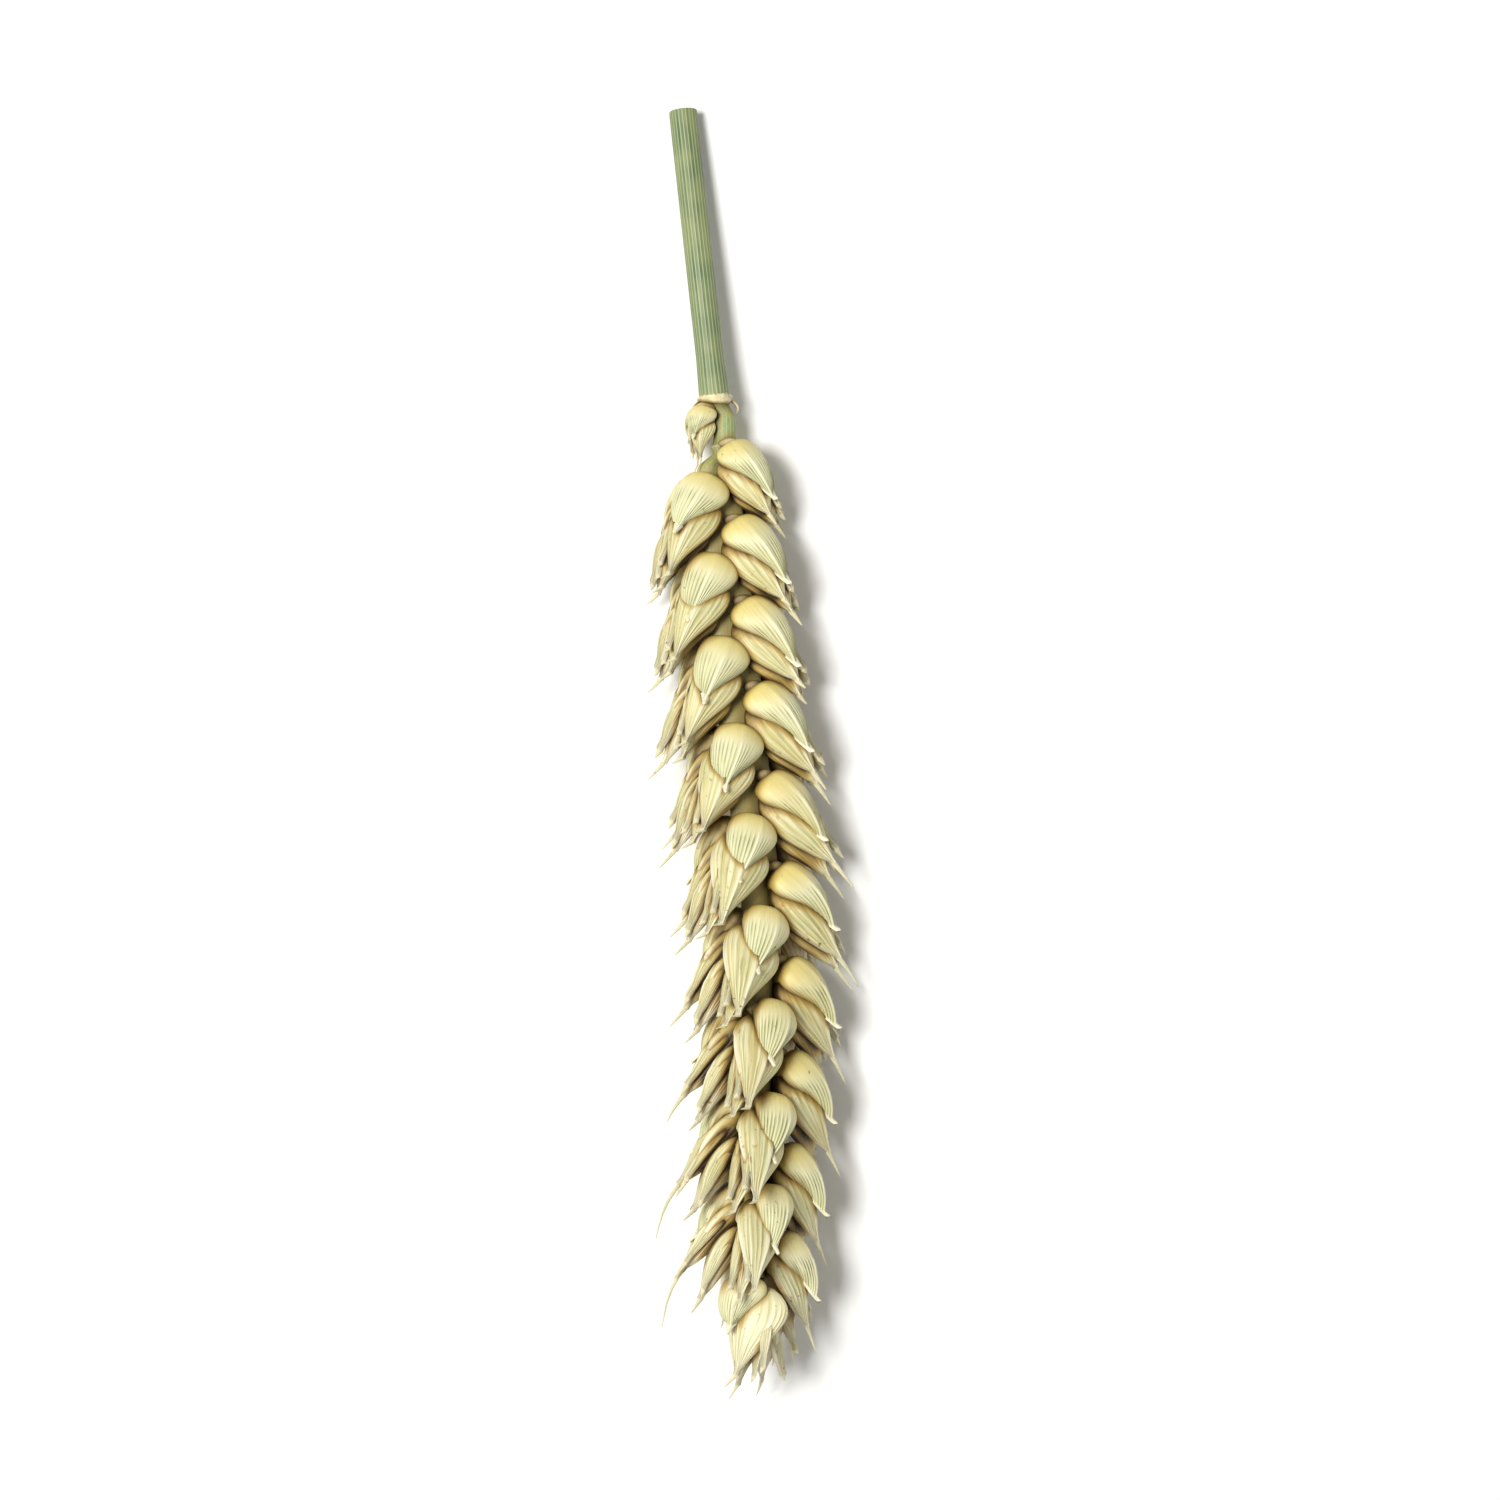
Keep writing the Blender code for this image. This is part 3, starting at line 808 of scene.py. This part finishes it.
def make_streaks():
    """Fine uneven streaks along a scale or a stem."""
    tree, into, out = open_group("streaks", [("Angle", 0), ("Along", 0), ("Tint", 0), ("Fineness", 9)],
                                 ["Streak", "Hair"])
    turned = sums(tree, "MULTIPLY", into["Angle"], into["Fineness"])
    place = node(tree, "CombineXYZ", turned, sums(tree, "MULTIPLY", into["Along"], 1.4),
                 sums(tree, "MULTIPLY", into["Tint"], 53.0))
    coarse = node(tree, "TexNoise", place.outputs[0], None, 1.0, 3.0, 0.6).outputs[0]
    fine = node(tree, "CombineXYZ", sums(tree, "MULTIPLY", turned, 4.0),
                sums(tree, "MULTIPLY", into["Along"], 3.0), sums(tree, "MULTIPLY", into["Tint"], 31.0))
    hair = node(tree, "TexNoise", fine.outputs[0], None, 1.0, 2.0).outputs[0]
    feed(tree, out["Streak"], step(tree, coarse, 0.34, 0.66))
    feed(tree, out["Hair"], hair)
    return tree


def make_weather_and_tip_light():
    """Broad patches of ripening, small brown specks, and painted light that makes the ear paler towards its tip.
    """
    tree, into, out = open_group("weather_and_tip_light", [("Patch size", 0.004), ("Speck size", 0.0006)],
                                 ["Patch", "Speck", "Tip light"])
    spot = node(tree, "TexCoord").outputs["Object"]
    broad = node(tree, "TexNoise", spot, None, sums(tree, "DIVIDE", 1.0, into["Patch size"]), 2.0).outputs[0]
    small = node(tree, "TexNoise", spot, None, sums(tree, "DIVIDE", 1.0, into["Speck size"]), 1.0).outputs[0]
    feed(tree, out["Patch"], step(tree, broad, 0.35, 0.65))
    feed(tree, out["Speck"], sums(tree, "MULTIPLY", step(tree, small, 0.70, 0.76), step(tree, broad, 0.5, 0.62)))
    # painted light: how much paler the ear is painted towards its tip
    feed(tree, out["Tip light"], step(tree, node(tree, "SeparateXYZ", spot).outputs["Y"], -0.036, -0.060))
    return tree


def open_finish(name):
    material = bpy.data.materials.new(name)
    material.use_nodes = True
    tree = material.node_tree
    return material, tree, tree.nodes["Principled BSDF"]


def finish_surface(tree, surface, colour, roughness, relief, depth):
    """Leads the colour, gloss and relief into the material's shader."""
    feed(tree, surface.inputs["Base Color"], colour)
    feed(tree, surface.inputs["Roughness"], roughness)
    bump = node(tree, "Bump")
    bump.inputs["Strength"].default_value = 1.0
    bump.inputs["Distance"].default_value = depth
    feed(tree, bump.inputs["Height"], relief)
    feed(tree, surface.inputs["Normal"], bump.outputs[0])


def scale_values(tree):
    """Where a spot is on its scale: angle from the keel, share of the length, tint, crevice."""
    side, back = point_value(tree, "side"), point_value(tree, "back")
    angle = sums(tree, "ARCTAN2", side, back)
    return angle, point_value(tree, "along"), point_value(tree, "tint"), point_value(tree, "crevice")


def paint_crevice_shade(tree, colour, crevice, strength=1.0):
    """Painted shade in the crevices: warm straw first, then brown."""
    warm = blend(tree, sums(tree, "MULTIPLY", step(tree, crevice, 0.05, 0.28), 0.76 * strength), colour,
                 tone(170, 130, 28))
    return blend(tree, sums(tree, "MULTIPLY", step(tree, crevice, 0.21, 0.54), 0.96 * strength), warm,
                 tone(54, 34, 2))


def clear_tips(tree, crevice, along, tip_light):
    """The crevice value that sets the painted shade, taken back on the points of the scales and at the tip of the
    ear, which is painted paler.
    """
    point = sums(tree, "MULTIPLY", step(tree, along, 0.72, 0.96), 0.65)
    tip = sums(tree, "MULTIPLY", tip_light, 0.45)
    kept = sums(tree, "MULTIPLY", sums(tree, "SUBTRACT", 1.0, point), sums(tree, "SUBTRACT", 1.0, tip))
    return sums(tree, "MULTIPLY", crevice, kept)


def finish_glume(groups):
    material, tree, surface = open_finish("glume_husk")
    angle, along, tint, crevice = scale_values(tree)
    nerves = use_group(tree, groups["nerves"], Angle=angle, Along=along, Tint=tint, Count=36.0, Start=0.34)
    streaks = use_group(tree, groups["streaks"], Angle=angle, Along=along, Tint=tint, Fineness=5.0)
    weather_and_tip_light = use_group(tree, groups["weather_and_tip_light"])
    colour = blend(tree, step(tree, along, 0.08, 0.52), tone(233, 212, 128), tone(234, 229, 186))
    colour = blend(tree, sums(tree, "MULTIPLY", step(tree, along, 0.35, 0.95), 0.35), colour, tone(206, 212, 158))
    colour = blend(tree, sums(tree, "MULTIPLY", weather_and_tip_light["Patch"], 0.30), colour, tone(212, 206, 140))
    colour = blend(tree, sums(tree, "MULTIPLY", step(tree, tint, 0.55, 1.0), 0.35), colour, tone(222, 201, 134))
    # painted light: the glumes painted paler towards the ear's tip
    colour = blend(tree, sums(tree, "MULTIPLY", weather_and_tip_light["Tip light"], 0.40), colour, tone(248, 243, 208))
    colour = blend(tree, sums(tree, "MULTIPLY", nerves["Line"], 0.94), colour, tone(102, 124, 62))
    colour = blend(tree, sums(tree, "MULTIPLY", streaks["Streak"], 0.22), colour, tone(190, 178, 118))
    # painted highlight: a pale band along the keel
    keel = step(tree, sums(tree, "ABSOLUTE", angle), 0.11, 0.03)
    keel = sums(tree, "MULTIPLY", keel, step(tree, along, 0.3, 0.55))
    colour = blend(tree, sums(tree, "MULTIPLY", keel, 0.6), colour, tone(244, 240, 204))
    colour = blend(tree, step(tree, along, 0.965, 0.995), colour, tone(238, 232, 200))
    colour = blend(tree, step(tree, along, 1.04, 1.09), colour, tone(150, 108, 66))
    colour = blend(tree, sums(tree, "MULTIPLY", weather_and_tip_light["Speck"], 0.7), colour, tone(120, 82, 44))
    # painted shade in the crevices
    colour = paint_crevice_shade(tree, colour, clear_tips(tree, crevice, along, weather_and_tip_light["Tip light"]), 0.85)
    relief = sums(tree, "ADD", nerves["Relief"], sums(tree, "MULTIPLY", streaks["Hair"], 0.8))
    rough = node(tree, "MapRange", streaks["Hair"], 0.3, 0.7, 0.40, 0.60).outputs[0]
    finish_surface(tree, surface, colour, rough, relief, 0.00005)
    return material


def finish_lemma(groups):
    material, tree, surface = open_finish("lemma_husk")
    angle, along, tint, crevice = scale_values(tree)
    nerves = use_group(tree, groups["nerves"], Angle=angle, Along=along, Tint=tint, Count=24.0, Start=0.12,
                       Drift=6.0)
    streaks = use_group(tree, groups["streaks"], Angle=angle, Along=along, Tint=tint, Fineness=6.0)
    weather_and_tip_light = use_group(tree, groups["weather_and_tip_light"])
    colour = blend(tree, streaks["Streak"], tone(236, 229, 182), tone(210, 194, 130))
    colour = blend(tree, sums(tree, "MULTIPLY", weather_and_tip_light["Patch"], 0.30), colour, tone(200, 202, 142))
    # painted light: the lemmas painted paler towards the ear's tip
    colour = blend(tree, sums(tree, "MULTIPLY", weather_and_tip_light["Tip light"], 0.45), colour, tone(250, 245, 212))
    colour = blend(tree, sums(tree, "MULTIPLY", nerves["Line"], 0.66), colour, tone(138, 142, 82))
    far =sums(tree, "ABSOLUTE", angle)
    keel = sums(tree, "MULTIPLY", step(tree, far, 0.14, 0.04), step(tree, along, 0.2, 0.5))
    colour = blend(tree, sums(tree, "MULTIPLY", keel, 0.7), colour, tone(246, 242, 208))
    margin = sums(tree, "MULTIPLY", step(tree, far, 1.35, 1.62), step(tree, along, 0.25, 0.5))
    colour = blend(tree, sums(tree, "MULTIPLY", margin, 0.75), colour, tone(240, 232, 202))
    colour = blend(tree, sums(tree, "MULTIPLY", step(tree, along, 0.80, 0.97), 0.7), colour, tone(236, 226, 190))
    colour = blend(tree, step(tree, along, 1.0, 1.15), colour, tone(236, 228, 186))
    marks = node(tree, "CombineXYZ", sums(tree, "MULTIPLY", angle, 2.6), sums(tree, "MULTIPLY", along, 11.0),
                 sums(tree, "MULTIPLY", tint, 71.0))
    stain = step(tree, node(tree, "TexNoise", marks.outputs[0], None, 1.0, 2.0).outputs[0], 0.66, 0.74)
    colour = blend(tree, sums(tree, "MULTIPLY", stain, 0.55), colour, tone(164, 116, 78))
    colour = blend(tree, sums(tree, "MULTIPLY", weather_and_tip_light["Speck"], 0.8), colour, tone(132, 88, 50))
    # painted shade in the crevices
    colour = paint_crevice_shade(tree, colour, clear_tips(tree, crevice, along, weather_and_tip_light["Tip light"]))
    relief = sums(tree, "ADD", nerves["Relief"], sums(tree, "MULTIPLY", streaks["Hair"], 1.2))
    rough = node(tree, "MapRange", streaks["Hair"], 0.3, 0.7, 0.38, 0.58).outputs[0]
    finish_surface(tree, surface, colour, rough, relief, 0.00004)
    return material


def finish_stem(name, groups, main, second, pale, count, crevices):
    """Green straw skin with pale ribs."""
    material, tree, surface = open_finish(name)
    angle, along, tint, crevice = scale_values(tree)
    streaks = use_group(tree, groups["streaks"], Angle=angle, Along=along, Tint=tint, Fineness=6.0)
    weather_and_tip_light = use_group(tree, groups["weather_and_tip_light"])
    colour = blend(tree, sums(tree, "MULTIPLY", streaks["Streak"], 0.85), main, second)
    if crevices:
        inside = sums(tree, "MULTIPLY", step(tree, tint, 0.6, 0.1), 0.80)
        colour = blend(tree, inside, colour, tone(222, 202, 122))
    rib = step(tree, sums(tree, "COSINE", sums(tree, "MULTIPLY", angle, count)), 0.1, 0.95)
    colour = blend(tree, sums(tree, "MULTIPLY", rib, 0.42 if crevices else 0.66), colour, pale)
    colour = blend(tree, sums(tree, "MULTIPLY", weather_and_tip_light["Patch"], 0.25), colour, tone(190, 190, 128))
    if crevices:
        knots = sums(tree, "MULTIPLY", step(tree, along, 0.82, 0.92), 0.8)
        colour = blend(tree, knots, colour, tone(232, 224, 172))
        # painted shade in the crevices
        colour = paint_crevice_shade(tree, colour, crevice, 0.42)
    else:
        cut = point_value(tree, "cut")
        colour = blend(tree, step(tree, cut, 0.3, 0.9), colour, tone(228, 222, 190))
    rough = node(tree, "MapRange", streaks["Hair"], 0.3, 0.7, 0.36, 0.52).outputs[0]
    finish_surface(tree, surface, colour, rough, streaks["Hair"], 0.00004)
    return material


def finish_pale(groups):
    """The collar's and the pads' pale skin."""
    material, tree, surface = open_finish("pale_skin")
    angle, along, tint, crevice = scale_values(tree)
    streaks = use_group(tree, groups["streaks"], Angle=angle, Along=along, Tint=tint, Fineness=4.0)
    weather_and_tip_light = use_group(tree, groups["weather_and_tip_light"])
    colour = blend(tree, streaks["Streak"], tone(246, 238, 204), tone(222, 210, 160))
    colour = blend(tree, sums(tree, "MULTIPLY", weather_and_tip_light["Patch"], 0.3), colour, tone(206, 190, 136))
    # painted shade in the crevices
    colour = paint_crevice_shade(tree, colour, crevice, 0.8)
    finish_surface(tree, surface, colour, 0.55, streaks["Hair"], 0.00005)
    return material


def finish_ground():
    material, tree, surface = open_finish("ground")
    surface.inputs["Base Color"].default_value = tone(243, 242, 239)
    surface.inputs["Roughness"].default_value = 0.9
    return material


def give(piece, material):
    piece.data.materials.clear()
    piece.data.materials.append(material)


def lay_ground():
    deselect()
    bpy.ops.mesh.primitive_plane_add(size=6.0, location=(0, 0, 0))
    ground = bpy.context.object
    ground.name = "ground"
    give(ground, finish_ground())


def light_scene():
    """A soft box at the upper left, a weaker one at the right, and a pale room."""
    for name, place, size, power in (("key", (-0.26, 0.06, 0.62), 0.20, 4.9),
                                     ("fill", (0.50, -0.25, 0.50), 0.50, 0.8)):
        data = bpy.data.lights.new(name, "AREA")
        data.size, data.energy = size, power
        lamp = bpy.data.objects.new(name, data)
        lamp.location = place
        lamp.rotation_euler = (-Vector(place)).to_track_quat("-Z", "Y").to_euler()
        bpy.context.scene.collection.objects.link(lamp)
    world = bpy.data.worlds.new("room")
    world.use_nodes = True
    world.node_tree.nodes["Background"].inputs["Color"].default_value = (1.0, 0.99, 0.97, 1.0)
    world.node_tree.nodes["Background"].inputs["Strength"].default_value = 0.26
    bpy.context.scene.world = world


def aim_camera():
    """Straight down on the ear, its straw up and its tip down in the picture."""
    data = bpy.data.cameras.new("camera")
    data.lens, data.sensor_width = 100.0, 36.0
    camera = bpy.data.objects.new("camera", data)
    middle = (SOLID_LOW + SOLID_HIGH) / 2
    tall = (SOLID_HIGH.y - SOLID_LOW.y) / PHOTO_FILL
    camera.location = (middle.x, middle.y, middle.z + tall * data.lens / data.sensor_width)
    bpy.context.scene.collection.objects.link(camera)
    bpy.context.scene.camera = camera
    bpy.context.scene.view_settings.view_transform = "Standard"


def main():
    places = node_places()
    pieces = model_scales()
    pieces["rachis"] = model_rachis(places)
    pieces["collar"] = model_collar()
    pieces["pads"] = model_pads(places)
    for piece in pieces.values():
        press_flat(piece)
    straw = model_straw()
    shade_crevices(list(pieces.values()))
    groups = {"nerves": make_nerves(), "streaks": make_streaks(), "weather_and_tip_light": make_weather_and_tip_light()}
    glume, lemma, pale = finish_glume(groups), finish_lemma(groups), finish_pale(groups)
    green = finish_stem("rachis_skin", groups, tone(128, 150, 96), tone(156, 168, 108), tone(190, 198, 146),
                        16.0, True)
    reed = finish_stem("straw_skin", groups, tone(70, 96, 60), tone(122, 134, 88), tone(178, 190, 146),
                       24.0, False)
    finishes = {"glumes_left": glume, "glumes_right": glume, "lower_lemmas": lemma, "upper_lemmas": lemma,
                "paleas": lemma, "rachis": green, "collar": pale, "pads": pale}
    for name, piece in pieces.items():
        give(piece, finishes[name])
        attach(piece, "root")
        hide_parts("ear")
    give(straw, reed)
    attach(straw, "root")
    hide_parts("straw")
    lay_ground()
    light_scene()
    aim_camera()
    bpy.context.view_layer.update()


main()
